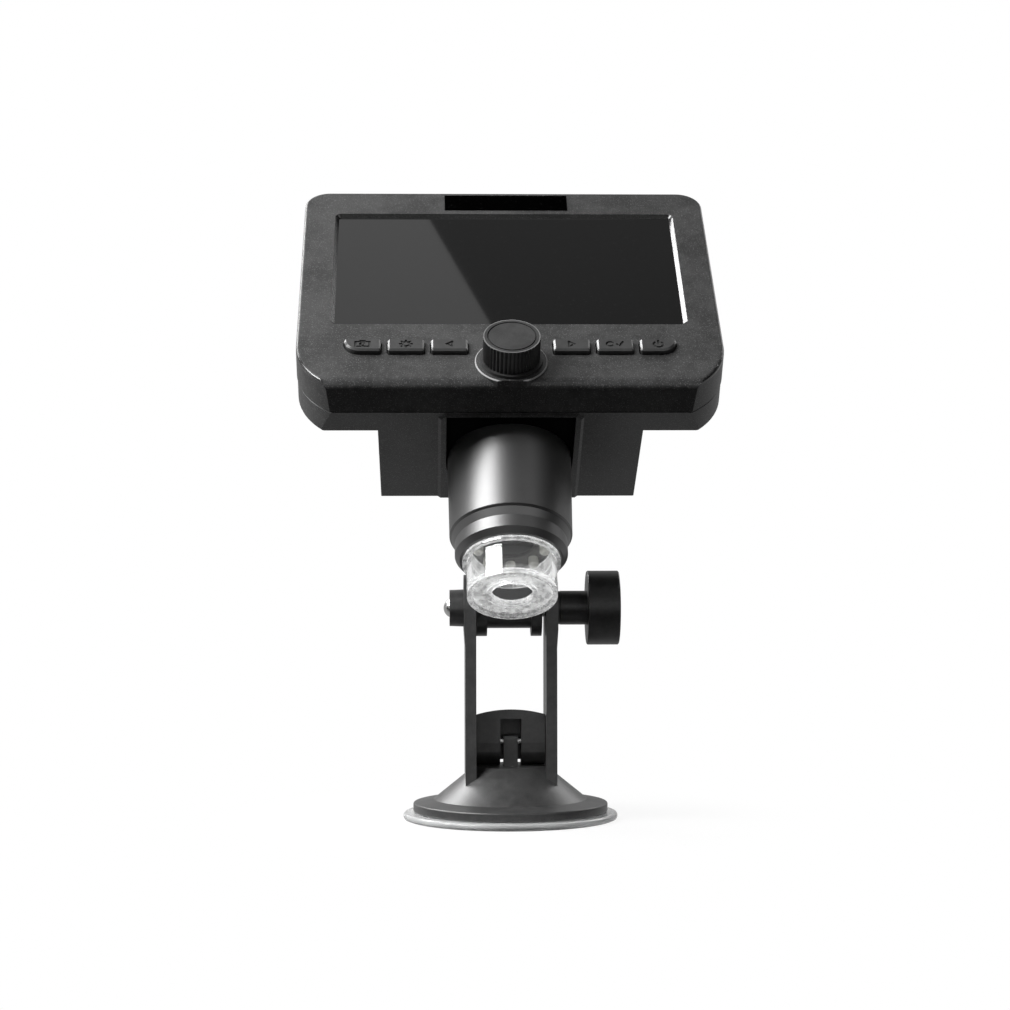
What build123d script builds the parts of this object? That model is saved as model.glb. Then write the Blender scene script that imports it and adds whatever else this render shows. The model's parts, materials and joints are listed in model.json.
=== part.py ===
from build123d import *
import os
from math import atan2, cos, hypot, pi, radians, sin, tan

# Handheld LCD digital microscope on a fork-type suction-cup stand.
# Millimetres. +Z is up, -Y is the side the user looks at, and the origin is the centre of the
# suction disc's underside. The head is drawn in its own frame, with the barrel upright and the
# tilt axis as origin, and is then leaned over on the stand.

# ---------------------------------------------------------------- fits and clearances
running = 0.06          # radial play of a turning or sliding pair
slip = 0.15             # play round a part that is pushed or dropped in
stack = 0.1             # air between parts stacked on one another
weld = 0.1              # depth to which a joined form runs into its neighbour
reach = 200.0           # longer than the object, for tools that cut right through

# ---------------------------------------------------------------- stand
pivot_height = 58.25    # tilt axis above the table
head_lean = 33.0        # degrees, barrel from vertical
disc_radius = 29.6
disc_thickness = 2.0
disc_lip = 0.5          # height of the bevel under the disc's edge
disc_land = 4.6         # width of the flat ring that seals
vacuum_rise = 2.4       # height of the hollow under the disc's middle
disc_hub_radius = 9.5
disc_hub_cover = 1.0    # rubber over the stem's foot
dome_radius = 26.9
dome_rim = 2.5          # height of the dome's edge
dome_rim_round = 0.5
dome_shoulder_radius = 21.2
dome_shoulder_rise = 1.0
dome_neck_radius = 12.9
dome_neck_height = 12.2
dome_top_radius = 9.6
dome_top = 14.6         # flat that the cam bears on
dome_wall = 2.2
fork_gap = 19.2         # clear width between the arms
arm_thickness = 2.95
arm_eye_step = 0.35     # how much thicker the arms are at the eyes
arm_step_top = 5.5      # the step starts this far below the tilt axis
arm_step_low = 10.8     # and ends here
arm_eye_radius = 9.2
arm_foot_half_depth = 9.6
nut_boss_radius = 5.2
nut_boss_taper = 0.2
nut_boss_length = 3.9
nut_radius = 3.6        # threaded insert pressed into the boss
nut_length = 3.2
nut_facets = 16
bolt_radius = 2.5
bolt_end = 1.65         # how far the bolt's dome stands out of the nut boss
washer_radius = 4.6
washer_thickness = 0.8
clamp_neck_radius = 4.7
clamp_neck_length = 7.4
clamp_knob_radius = 10.25
clamp_knob_length = 8.8
clamp_knob_edge = 0.25
clamp_knob_cap = 2.0    # plastic over the bolt's end

# ---------------------------------------------------------------- cam lever
stem_width = 3.9
stem_depth = 5.0
stem_top = 23.2
stem_top_round = 1.2
stem_foot_radius = 6.0
stem_foot_thickness = 1.5
foot_cover = 2.6        # rubber under the stem's foot
pin_radius = 1.0
pin_height = 21.35
pin_sink = 0.6          # how far the pin's ends lie inside the lever's sides
cam_lift = 2.0          # stroke of the stem
cam_steps = 8           # stations along the cam's curve
cam_heel = 0.2          # lever past the cam's end
lever_swing = 75.0      # degrees
lever_gap = 0.15        # lever to arm, on each side
lever_slot = 5.8
lever_web_gap = 1.8     # stem to the web behind it
lever_plate = 2.6
lever_top = 9.1         # crown of the lever above its pin
lever_crown = 1.3       # how much lower its edges are
lever_reach = 27.0
lever_droop = 12.0      # degrees below level when it is locked
lever_corner = 6.5

# ---------------------------------------------------------------- tilt bracket
hub_play = 1.2          # total air between the hub and the arms
hub_left_gap = 0.2      # of which this much on the left
hub_radius = 5.6
cheek_radius = 7.8
cheek_width = 2.9
bracket_plate = 3.0
bracket_width = 26.0
bracket_rise = 30.2     # its top above the block's underside
bracket_flare_low = 14.0
bracket_flare_high = 22.0
bracket_rib = 1.6
bracket_rib_width = 1.8
bracket_screw_radius = 1.25
bracket_screw_head = 2.4
bracket_screw_length = 6.5
bracket_screw_column = 16.0    # across
bracket_screw_row = 18.0       # up the plate
bracket_screw_drop = 5.0       # upper row below the plate's top
screw_post_radius = 3.0
screw_head_height = 0.75       # share of the head's radius
screw_slot = 0.7

# ---------------------------------------------------------------- case, about the screen
screen_lean = 18.0      # degrees, screen from the barrel's direction
screen_forward = 41.8   # screen centre ahead of the tilt axis
screen_height = 86.8    # and above it, along the barrel
case_width = 115.8
case_top = 39.5
case_bottom = 55.0      # lower edge of the face
seam_drop = 0.9         # the underside falls this much on its way to the parting line
corner_top = 7.2
corner_bottom = 22.2
corner_rise = 17.3      # centre of the lower corners above the face's lower edge
front_depth = 9.3
case_depth = 17.2
wall = 2.0
face_wall = 2.6
rim_round = 0.9
lower_round = 2.8
rear_round = 0.8
rear_inset = 0.2
seam_groove = 0.3
view_width = 95.8
view_height = 53.8
bevel = 1.1
bevel_depth = 1.0
view_corner = 0.8
window_margin = 1.4
window_thickness = 1.4
lcd_side_gap = 3.15     # display module to the side walls
lcd_top_gap = 7.8       # and below the case's top
lcd_key_gap = 0.4       # and above the keys' flanges
lcd_thickness = 2.9
lcd_lead_width = 20.0
lcd_lead_length = 2.6
lcd_lead_thickness = 0.3
board_side_gap = 3.9    # main board to the side walls
board_top_gap = 8.2
board_key_gap = 13.0    # its lower edge above the keys' row
board_thickness = 1.6
board_depth = 7.2       # front of the main board behind the face
chips = ((-10, 8, 14, 14, 1.2), (14, 10, 10, 12, 1.1), (-30, -12, 8, 8, 1.0), (24, -20, 20, 3, 1.8))
plate_width = 35.6
plate_height = 7.8
plate_shift = 0.6       # to the right of the middle
plate_thickness = 0.5
plate_inset = 0.25
plate_edge = 0.15
plate_centre = 33.8
column_side = 8.0       # screw columns in from the sides
column_top = 5.1        # upper ones below the top
column_bottom = 13.5    # lower ones above the face's lower edge
column_radius = 2.4
case_screw_radius = 1.0
case_screw_length = 11.0
case_screw_head = 1.9
screw_sink = 2.2        # depth of the screw heads' holes

# ---------------------------------------------------------------- keys
key_clear = 11.6        # nearest key's edge from the middle
key_margin = 13.1       # outermost key's edge in from the case's side
key_between = 1.9
key_count = 3           # on each side of the knob
key_height = 5.3
key_row = -39.5
key_proud = 1.6
key_gap = 0.3
key_corner = 0.7
key_end_corner = 4.4
key_edge = 0.5
key_flange = 0.9
key_flange_thickness = 0.8
key_post_radius = 1.5
key_post_length = 1.2
key_travel = 0.6
switch_size = 6.0
switch_height = 1.8
key_board_height = 14.0
key_board_drop = 2.2    # its centre below the keys'
key_board_thickness = 1.2

# ---------------------------------------------------------------- focus drive
knob_row = -46.0
knob_radius = 7.7
knob_height = 7.2
knob_ribs = 44
knob_rib_depth = 0.4
knob_band = 0.25        # plain bands above and below the ribs
knob_groove = 1.1       # groove in the top, in from the edge
knob_groove_width = 0.4
knob_flange = 0.7       # how far the flange stands out
knob_flange_thickness = 0.8
knob_cap = 2.0          # knob over the shaft's end
boss_margin = 2.1       # boss past the knob
boss_height = 0.6
boss_round = 0.3
bush_radius = 4.0
bush_tail = 0.5         # bush behind its boss
shaft_radius = 2.0
pinion_teeth = 10
ring_teeth = 42
bevel_module = 0.62
gear_face = 3.0
gear_back = 1.2         # rim behind the teeth
gear_play = 0.3         # backlash and tip clearance, as a share of the tooth
sleeve_radius = 9.9
sleeve_neck = 3.6       # sleeve above its bevel ring
carriage_radius = 8.5
carriage_wall = 1.3
carriage_drop = 0.5     # carriage's top below the sleeve's
carriage_lift = 6.0     # its foot above the barrel's end
carriage_hole = 1.0     # air round the carriage where it passes the barrel's plate
stop_height = 10.4      # ring that the lens cell screws up to
stop_length = 1.6
stop_width = 1.2
cell_radius = 5.0
cell_length = 5.4       # objective below the carriage
cell_lip = 0.8
cell_rim = 2.0
lens_radius = 4.2
lens_play = 0.02
front_lens_thickness = 2.4
front_lens_bulge = 0.6
rear_lens_rise = 5.0
rear_lens_thickness = 2.2
rear_lens_bulge = 0.45

# ---------------------------------------------------------------- block and barrel
barrel_offset = 27.0    # optical axis ahead of the tilt axis
block_width = 72.0
block_true = 56.0       # where it is that wide, ahead of the tilt axis
block_draft = 0.75      # degrees on each side
block_back = 9.7        # rear face ahead of the tilt axis
block_height = 57.2
block_slope = 8.0       # the top runs down to the case over this height
block_wall = 2.4
block_edge = 0.3
pad_side = 2.2          # pad past the pocket, on each side
pad_height = 0.6
pad_bevel = 0.8
pad_corner = 1.7
pad_front = 0.4
pocket_lip = 0.2        # pad between its bevel and the pocket
pocket_depth = 0.9      # visible face of the barrel's plate above the block's underside
plate_gap = 0.4         # pocket round the barrel
barrel_plate_thickness = 1.2
pocket_roof = 1.2
barrel_top_radius = 17.0
barrel_low_radius = 16.6
barrel_end = 6.0
barrel_edge = 0.5
barrel_wall = 2.0
barrel_flange = 3.0     # inward flange at the barrel's top
nose_radius = 15.2
nose_step = 2.2         # height over which it falls from the barrel's radius to its own
nose_chamfer = 1.6
nose_end = -1.3
nose_spigot = 6.0
nose_ledge = 1.0
led_board_radius = 11.9
led_board_hole = 6.2
led_board_thickness = 1.2
led_count = 8
led_circle = 9.0
led_radius = 1.45
led_height = 2.6
led_edge = 0.6
tube_radius = 12.1
tube_wall = 1.2
tube_flange_radius = 13.2
tube_flange = 1.1
tube_end = -12.4
tube_spigot = 3.2
tube_floor = 1.0
tube_lip = 1.0
tube_hole = 5.6
tube_collar = 1.25
tube_collar_drop = 0.6
tube_collar_height = 1.8
sensor_board = 26.0
sensor_board_thickness = 1.2
sensor_rise = 3.5       # sensor board above the sleeve
sensor_size = 9.0
sensor_height = 1.4
sensor_post = 10.8
sensor_post_radius = 1.5
sensor_hole = 0.8
battery_radius = 9.2
battery_length = 65.0
battery_edge = 0.6
battery_cap_radius = 2.6
battery_cap_length = 1.6
battery_drop = 1.0      # below the middle of its hatch
battery_gap = 0.3
cover_width = 58.0
cover_height = 23.5
cover_thickness = 1.3
cover_head = 0.6        # air above the cover
cover_ledge = 3.0       # width that the cover bears on
grip_count = 4
grip_pitch = 2.2
grip_rise = 5.0
grip_radius = 0.8
grip_length = 16.0
grip_axis = 0.3         # grooves' centres outside the cover
port_row = 8.0
port_width = 9.2
port_height = 3.4
port_depth = 7.6
port_shell = 0.4
port_tongue = 0.6
port_tongue_width = 6.4
card_row = 6.0
card_width = 12.6
card_height = 1.9
card_depth = 14.5
card_shell = 0.5

# ---------------------------------------------------------------- frames
lean = radians(screen_lean)
hub_width = fork_gap - hub_play
lever_width = fork_gap - 2 * lever_gap
head_shift = hub_left_gap - hub_play / 2
head = Pos(head_shift, 0, pivot_height) * Rot(-head_lean, 0, 0)
slab = Location(Plane(origin=(0, -screen_forward, screen_height), x_dir=(1, 0, 0),
                      z_dir=(0, -cos(lean), sin(lean))))
optic = Pos(0, -barrel_offset, 0)
tilt_axis = Pos(0, 0, pivot_height)


def slab_point(up, out):
    """Head-frame y and z of a point `up` the face and `out` from it."""
    y = -screen_forward + up * sin(lean) - out * cos(lean)
    z = screen_height + up * cos(lean) + out * sin(lean)
    return y, z


block_front, block_face = slab_point(-case_bottom - seam_drop, -front_depth)
block_top = block_face + block_height
bracket_top = block_face + bracket_rise
cover_low = block_top - cover_height
plate_face = block_face + pocket_depth
pocket_top = plate_face + barrel_plate_thickness + stack
floor_top = pocket_top + pocket_roof
pocket_front = block_front + pad_front + pad_bevel + pocket_lip
window_front = -bevel_depth
window_back = window_front - window_thickness
board_back = board_depth + board_thickness
boss_radius = knob_radius + boss_margin
pad_width = 2 * (barrel_top_radius + plate_gap + pad_side)
key_width = (case_width / 2 - key_margin - key_clear - (key_count - 1) * key_between) / key_count
carriage_bottom = barrel_end + carriage_lift
cell_tip = carriage_bottom - cell_length
screw_columns = ((case_width / 2 - column_side, case_top - column_top),
                 (case_width / 2 - column_side, column_bottom - case_bottom))


# ---------------------------------------------------------------- small helpers
def cylinder(radius, low, high):
    return Pos(0, 0, low) * Cylinder(radius, high - low, align=(Align.CENTER, Align.CENTER, Align.MIN))


def ring(outer, inner, low, high):
    return cylinder(outer, low, high) - cylinder(inner, low - 1, high + 1)


def box_up(width, depth, height):
    """Box standing on the XY plane, centred on Z."""
    return Box(width, depth, height, align=(Align.CENTER, Align.CENTER, Align.MIN))


def slab_box(width, height, near, far, x=0.0, y=0.0):
    """Box with its section parallel to the face, from depth `near` to depth `far`."""
    return Pos(x, y, min(near, far)) * box_up(width, height, abs(far - near))


def along_x(shape):
    """Turns a shape drawn along Z so that its Z runs along +X."""
    return Rot(0, 90, 0) * shape


def along_y(shape):
    """Turns a shape drawn along Z so that its Z runs along -Y."""
    return Rot(90, 0, 0) * shape


def turned(profile):
    """Solid of revolution about Z from an (r, z) outline."""
    return revolve(Plane.XZ * make_face(Polyline(*profile, close=True)), Axis.Z)


def prism(outline, width):
    """Extrusion along X, centred, of a (y, z) outline."""
    return extrude(Plane.YZ * make_face(Polyline(*outline, close=True)), width / 2, both=True)


def nearest(sketch, x, y):
    return sketch.vertices().sort_by_distance((x, y, 0))[0]


# ---------------------------------------------------------------- stand
def arm_side():
    """Side view of one fork arm: round eye on a blade that widens to the dome."""
    eye = Pos(0, pivot_height) * Circle(arm_eye_radius)
    blade = make_face(Polyline((-arm_foot_half_depth, disc_thickness + dome_rim),
                               (arm_foot_half_depth, disc_thickness + dome_rim),
                               (arm_eye_radius, pivot_height), (-arm_eye_radius, pivot_height), close=True))
    return eye + blade


def arm_front():
    """Front view of the right arm, stepped out a little at the eye."""
    inner = fork_gap / 2
    blade = inner + arm_thickness
    eye = blade + arm_eye_step
    top = pivot_height + arm_eye_radius + 1
    return make_face(Polyline((inner, 0), (blade, 0), (blade, pivot_height - arm_step_low),
                              (eye, pivot_height - arm_step_top), (eye, top), (inner, top), close=True))


def dome_profile(inset):
    """Half section of the dome, as (r, z) points from the axis outwards."""
    base = disc_thickness
    return [(0, dome_top - inset), (dome_top_radius - 0.3 * inset, dome_top - inset),
            (dome_neck_radius - inset, dome_neck_height - 0.5 * inset),
            (dome_shoulder_radius - inset, base + dome_rim + dome_shoulder_rise - inset),
            (dome_radius - 2 * inset, base + dome_rim - inset)]


def fork_base():
    """Dome, fork arms and nut boss: one moulding."""
    base = disc_thickness
    dome = turned(dome_profile(0) + [(dome_radius, base), (0, base)])
    dome = fillet(dome.edges().filter_by(GeomType.CIRCLE).group_by(SortBy.RADIUS)[-1], dome_rim_round)
    arm = extrude(Plane.YZ * arm_side(), reach, both=True)
    arm = arm & extrude(Plane.XZ * arm_front(), reach, both=True)
    arms = arm + mirror(arm, Plane.YZ)
    below_dome = turned(dome_profile(0) + [(dome_radius, 0), (0, 0)])
    shape = dome + (arms - below_dome)
    outside = clamp_positions()[0]
    boss = tilt_axis * Pos(-outside - nut_boss_length, 0, 0) * along_x(
        Cone(nut_boss_radius - nut_boss_taper, nut_boss_radius, nut_boss_length + arm_thickness / 2,
             align=(Align.CENTER, Align.CENTER, Align.MIN)))
    shape += boss
    shape -= turned(dome_profile(dome_wall) + [(dome_radius - 2 * dome_wall, 0), (0, 0)])
    shape -= tilt_axis * along_x(cylinder(bolt_radius + slip, -reach, reach))
    seat = -outside - nut_boss_length
    shape -= tilt_axis * along_x(cylinder(nut_radius + running, seat - 1, seat + nut_length + stack))
    return shape - Box(stem_width + 2 * slip, stem_depth + 2 * slip, 4 * dome_top)


def foot_level():
    """Underside of the stem's foot."""
    return vacuum_rise + foot_cover


def suction_disc():
    """Clear rubber disc, drawn up in the middle, with the hub that grips the stem's foot."""
    foot_top = foot_level() + stem_foot_thickness + stack
    hub_top = foot_top + disc_hub_cover
    top = disc_thickness - stack
    land = disc_radius - disc_land
    body = turned([(0, vacuum_rise), (disc_hub_radius, vacuum_rise), (land, 0), (disc_radius - disc_lip, 0),
                   (disc_radius, disc_lip), (disc_radius, top - disc_lip), (disc_radius - disc_lip, top),
                   (dome_shoulder_radius, top), (disc_hub_radius + disc_land / 2, foot_level()),
                   (disc_hub_radius - disc_lip, hub_top), (0, hub_top)])
    foot = cylinder(stem_foot_radius + stack, foot_level() - stack, foot_top)
    neck = cylinder(hypot(stem_width, stem_depth) / 2 + slip, foot_level(), hub_top + 1)
    return body - foot - neck


def stem():
    """Square post with a round foot, pulled up by the cam."""
    foot = cylinder(stem_foot_radius, foot_level(), foot_level() + stem_foot_thickness)
    post = Pos(0, 0, foot_level()) * box_up(stem_width, stem_depth, stem_top - foot_level())
    post = fillet(post.edges().filter_by(Axis.X).group_by(Axis.Z)[-1], stem_top_round)
    return foot + post - Pos(0, 0, pin_height) * along_x(cylinder(pin_radius, -reach, reach))


def cam_points():
    """Front of the cam: its reach along the follower falls evenly with the lever's turn."""
    fall = cam_lift / radians(lever_swing)
    points = []
    for step in range(cam_steps + 1):
        turn = radians(lever_swing) * step / cam_steps
        span = pin_height - dome_top - stack - fall * turn
        points.append((-span * sin(turn) + fall * cos(turn), -span * cos(turn) - fall * sin(turn)))
    return points


def lever():
    """Cam lever, about its pin: two cam cheeks under one crowned, drooping handle."""
    cam = cam_points()
    droop = tan(radians(lever_droop))
    front = cam[-1][0] - cam_heel
    tip_top = lever_top - droop * (lever_reach - front)
    knee = cam[0][0] + stem_depth
    knee_level = lever_top - lever_plate - droop * (knee - front)
    edge = Spline(*cam)
    closing = Polyline(cam[-1], (front, cam[-1][1] + lever_plate), (front, lever_top), (lever_reach, tip_top),
                       (lever_reach, tip_top - lever_plate), (knee, knee_level),
                       (cam[0][0] + bolt_radius, cam[0][1]), cam[0])
    body = extrude(Plane.YZ * make_face(Curve() + [edge, closing]), lever_width / 2, both=True)
    crown_radius = (lever_width ** 2 / 4 + lever_crown ** 2) / (2 * lever_crown)
    crown_rise = (lever_top + front * droop) * cos(radians(lever_droop))
    crown = Rot(-lever_droop, 0, 0) * Pos(0, 0, crown_rise - crown_radius) * along_y(
        Cylinder(crown_radius, 4 * lever_reach))
    plan = Pos(0, (lever_reach + front) / 2, -reach / 2) * box_up(lever_width, lever_reach - front, reach)
    plan = fillet(plan.edges().filter_by(Axis.Z).group_by(Axis.Y)[-1], lever_corner)
    body = body & crown & plan
    slot_back = stem_depth / 2 + lever_web_gap
    slot = Pos(0, slot_back - lever_reach / 2, -reach) * box_up(
        lever_slot, lever_reach, reach + lever_top - lever_plate)
    return body - slot - along_x(cylinder(pin_radius + running, -reach, reach))


def lever_pin():
    half = lever_width / 2 - pin_sink
    return Pos(0, 0, pin_height) * along_x(cylinder(pin_radius, -half, half))


def clamp_positions():
    """Where each piece on the tilt axis starts, from the right arm outwards."""
    arm = fork_gap / 2 + arm_thickness + arm_eye_step
    washer = arm + stack
    neck = washer + washer_thickness
    knob = neck + clamp_neck_length
    return arm, washer, neck, knob


def clamp_washer():
    arm, washer, neck, knob = clamp_positions()
    return tilt_axis * along_x(ring(washer_radius, bolt_radius + slip, washer, neck - stack))


def clamp_knob():
    """Thumb knob: a plain drum on a neck."""
    arm, washer, neck, knob = clamp_positions()
    end = knob + clamp_knob_length
    body = cylinder(clamp_knob_radius, knob, end)
    body = chamfer(body.edges().filter_by(GeomType.CIRCLE), clamp_knob_edge)
    body += cylinder(clamp_neck_radius, neck, knob + weld)
    body -= cylinder(bolt_radius, neck - 1, end - clamp_knob_cap)
    return tilt_axis * along_x(body)


def clamp_bolt():
    """Bolt moulded into the knob, through both arms and the hub; its domed end shows."""
    arm, washer, neck, knob = clamp_positions()
    tip = -arm - nut_boss_length - bolt_end
    shank = cylinder(bolt_radius, tip + bolt_end, knob + clamp_knob_length - clamp_knob_cap)
    sphere = (bolt_radius ** 2 + bolt_end ** 2) / (2 * bolt_end)
    dome = Pos(0, 0, tip + sphere) * Sphere(sphere) & cylinder(bolt_radius, tip - 1, tip + bolt_end)
    return tilt_axis * along_x(shank + dome)


def clamp_nut():
    """Threaded insert in the left boss."""
    seat = -clamp_positions()[0] - nut_boss_length
    body = Pos(0, 0, seat) * extrude(RegularPolygon(nut_radius, nut_facets), nut_length)
    return tilt_axis * along_x(body - cylinder(bolt_radius + running, -reach, reach))


def bracket():
    """Hub between the arms and the plate that carries the head, in the head frame."""
    front = -block_back + stack
    back = front + bracket_plate
    middle = (front + back) / 2
    half = hub_width / 2
    hub = along_x(cylinder(hub_radius, -half, half))
    cheek = along_x(cylinder(cheek_radius, half - cheek_width, half))
    hub += cheek + mirror(cheek, Plane.YZ)
    web = prism([(front, hub_radius / 2), (weld - hub_radius, -hub_radius / 2), (0, hub_radius - weld),
                 (back, bracket_flare_low), (front, bracket_flare_low)], hub_width)
    stalk = Pos(0, middle, hub_radius / 2) * box_up(hub_width, bracket_plate, bracket_flare_low)
    flare = loft([Pos(0, middle, bracket_flare_low) * Rectangle(hub_width, bracket_plate),
                  Pos(0, middle, bracket_flare_high) * Rectangle(bracket_width, bracket_plate)])
    plate = Pos(0, middle, bracket_flare_high) * box_up(bracket_width, bracket_plate,
                                                        bracket_top - bracket_flare_high)
    rib = Pos((bracket_width - bracket_rib_width) / 2, 0, 0) * prism(
        [(back - weld, bracket_flare_high), (back, bracket_flare_high),
         (back + bracket_rib, bracket_flare_high + bracket_plate),
         (back + bracket_rib, bracket_top - bracket_plate), (back, bracket_top), (back - weld, bracket_top)],
        bracket_rib_width)
    body = hub + web + stalk + flare + plate + rib + mirror(rib, Plane.YZ)
    body -= along_x(cylinder(bolt_radius + slip + abs(head_shift) / 4, -reach, reach))
    for x, level in bracket_screw_places():
        body -= Pos(x, 0, level) * along_y(Cylinder(bracket_screw_radius + slip, reach))
    return body


def bracket_screw_places():
    top = bracket_top - bracket_screw_drop
    half = bracket_screw_column / 2
    return [(x, z) for x in (-half, half) for z in (top, top - bracket_screw_row)]


def pan_screw(radius, length, head_radius):
    """Cross-recess screw along Z: shank below 0, head above."""
    head_height = screw_head_height * head_radius
    cap = cylinder(head_radius, 0, head_height)
    cap = chamfer(cap.edges().group_by(Axis.Z)[-1], 0.4 * head_height)
    cross = Box(screw_slot, 1.2 * head_radius, head_height) + Box(1.2 * head_radius, screw_slot, head_height)
    return cylinder(radius, -length, 0) + cap - Pos(0, 0, head_height) * cross


def bracket_screws():
    back = -block_back + stack + bracket_plate + stack / 2
    screw = Rot(-90, 0, 0) * pan_screw(bracket_screw_radius, bracket_screw_length, bracket_screw_head)
    return Compound([Pos(x, back, z) * screw for x, z in bracket_screw_places()])


# ---------------------------------------------------------------- case
def case_outline():
    """Front view of the case before its underside is cut: tight upper corners, long lower ones."""
    half = case_width / 2
    lower = corner_rise - case_bottom
    upper = case_top - corner_top
    right = Curve() + [
        Line((0, lower - corner_bottom), (half - corner_bottom, lower - corner_bottom)),
        CenterArc((half - corner_bottom, lower), corner_bottom, -90, 90),
        Line((half, lower), (half, upper)),
        CenterArc((half - corner_top, upper), corner_top, 0, 90),
        Line((half - corner_top, case_top), (0, case_top))]
    return make_face(right + mirror(right, Plane.YZ))


def front_side_view(lift, depth):
    """Side view of the room over the front shell's sloping underside, `lift` inside its skin."""
    low = lift - case_bottom
    return make_face(Polyline((low, 0), (case_width, 0), (case_width, -depth),
                              (low - seam_drop * depth / front_depth, -depth), close=True))


def key_places():
    """Centre of each key and which of its lower corners is long: -1 left, 1 right, 0 none."""
    places = []
    for side in (-1, 1):
        for index in range(key_count):
            middle = key_clear + key_width / 2 + index * (key_width + key_between)
            places.append((side * middle, side if index == key_count - 1 else 0))
    places.sort()
    return places


def key_outline(grow, long_corner):
    """Front view of a key; the outermost keys have one long lower corner."""
    width, height = key_width + 2 * grow, key_height + 2 * grow
    face = Rectangle(width, height)
    if long_corner:
        face = fillet(nearest(face, long_corner * width / 2, -height / 2), key_end_corner + grow)
    square = [v for v in face.vertices() if abs(v.X) + abs(v.Y) > (width + height) / 2 - weld]
    return fillet(square, key_corner + grow)


def front_shell():
    outline = case_outline()
    body = extrude(outline, -front_depth)
    body = fillet(body.edges().group_by(Axis.Z)[-1], rim_round)
    body = chamfer(body.edges().group_by(Axis.Z)[0], seam_groove)
    side = front_side_view(0, front_depth)
    side = fillet(nearest(side, -case_bottom, 0), lower_round)
    side = chamfer(nearest(side, -case_bottom - seam_drop, -front_depth), seam_groove)
    body = body & extrude(Plane.YZ * side, case_width, both=True)
    boss = Pos(0, knob_row) * cylinder(boss_radius, -front_depth, boss_height)
    boss = fillet(boss.edges().group_by(Axis.Z)[-1], boss_round)
    body += boss & slab_box(reach, reach, -front_depth, boss_height, y=reach / 2 - case_bottom)
    cavity = Pos(0, 0, -face_wall) * extrude(offset(outline, -wall, kind=Kind.INTERSECTION), -front_depth)
    body -= cavity & extrude(Plane.YZ * front_side_view(wall, 2 * front_depth), case_width, both=True)
    body -= loft([RectangleRounded(view_width + 2 * bevel, view_height + 2 * bevel, view_corner + bevel),
                  Pos(0, 0, -bevel_depth) * RectangleRounded(view_width, view_height, view_corner)])
    body -= slab_box(view_width, view_height, 0, -2 * face_wall)
    body -= slab_box(view_width + 2 * window_margin, view_height + 2 * window_margin, window_front, -2 * face_wall)
    body -= slab_box(plate_width + 2 * slip, plate_height + 2 * slip, 1, -plate_inset,
                     x=plate_shift, y=plate_centre)
    for x, long_corner in key_places():
        body -= Pos(x, key_row, -2 * face_wall) * extrude(key_outline(key_gap, long_corner), 4 * face_wall)
    body += Pos(0, knob_row) * cylinder(bush_radius + wall, -front_depth, -face_wall / 2)
    body -= Pos(0, knob_row) * cylinder(bush_radius, -2 * front_depth, 2 * boss_height)
    for x, y in screw_columns:
        for side in (-1, 1):
            column = cylinder(column_radius, stack - front_depth, weld - face_wall)
            body += Pos(side * x, y) * (column - cylinder(case_screw_radius, -2 * front_depth, -face_wall))
    return body - side_ports(slip)


def side_ports(grow):
    """Cut-outs for the charging socket on the right and the card slot on the left."""
    usb = slab_box(4 * wall, port_width + 2 * grow, grow - board_back, -board_back - port_height - grow,
                   x=case_width / 2, y=port_row)
    card = slab_box(4 * wall, card_width + 2 * grow, grow - board_back, -board_back - card_height - grow,
                    x=-case_width / 2, y=card_row)
    return usb + card


def block_form(inset):
    """Housing behind the case: a wedge between the case and an upright rear face."""
    floor = block_face + inset
    back = -block_back - inset
    roof = block_top + block_slope - inset
    rise = 1 / tan(radians(90) - lean)
    low_y = block_front + inset * rise
    high_y = block_front + (roof - block_face) * rise
    side = prism([(low_y, floor), (back, floor), (back, block_top - inset / 2), (back - block_slope, roof),
                  (high_y, roof)], 2 * block_width)

    def half(y):
        return block_width / 2 - inset - tan(radians(block_draft)) * (y + block_true)

    plan = make_face(Polyline((-half(-case_bottom), -case_bottom), (half(-case_bottom), -case_bottom),
                              (half(back), back), (-half(back), back), close=True))
    return side & extrude(plan, 2 * block_top)


def pad_form():
    """Low bevelled pad round the barrel's root, open at the rear face."""
    length = -block_back - block_front - pad_front + 4 * pad_bevel
    place = Pos(0, block_front + pad_front + length / 2, block_face)
    base = Rectangle(pad_width, length)
    face = Rectangle(pad_width - 2 * pad_bevel, length - 2 * pad_bevel)
    pad = loft([place * chamfer(base.vertices(), pad_corner),
                place * Pos(0, 0, -pad_height) * chamfer(face.vertices(), pad_corner - pad_bevel / 2)])
    return pad & Pos(0, -block_back - reach / 2, 0) * Box(reach, reach, 2 * reach)


def pocket_outline(grow):
    """Plan of the barrel's plate: square in front, round behind the barrel."""
    radius = barrel_top_radius + plate_gap + grow
    front = pocket_front - grow
    depth = -barrel_offset - front
    return (Pos(0, front + depth / 2) * Rectangle(2 * radius, depth)) + Pos(0, -barrel_offset) * Circle(radius)


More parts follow.
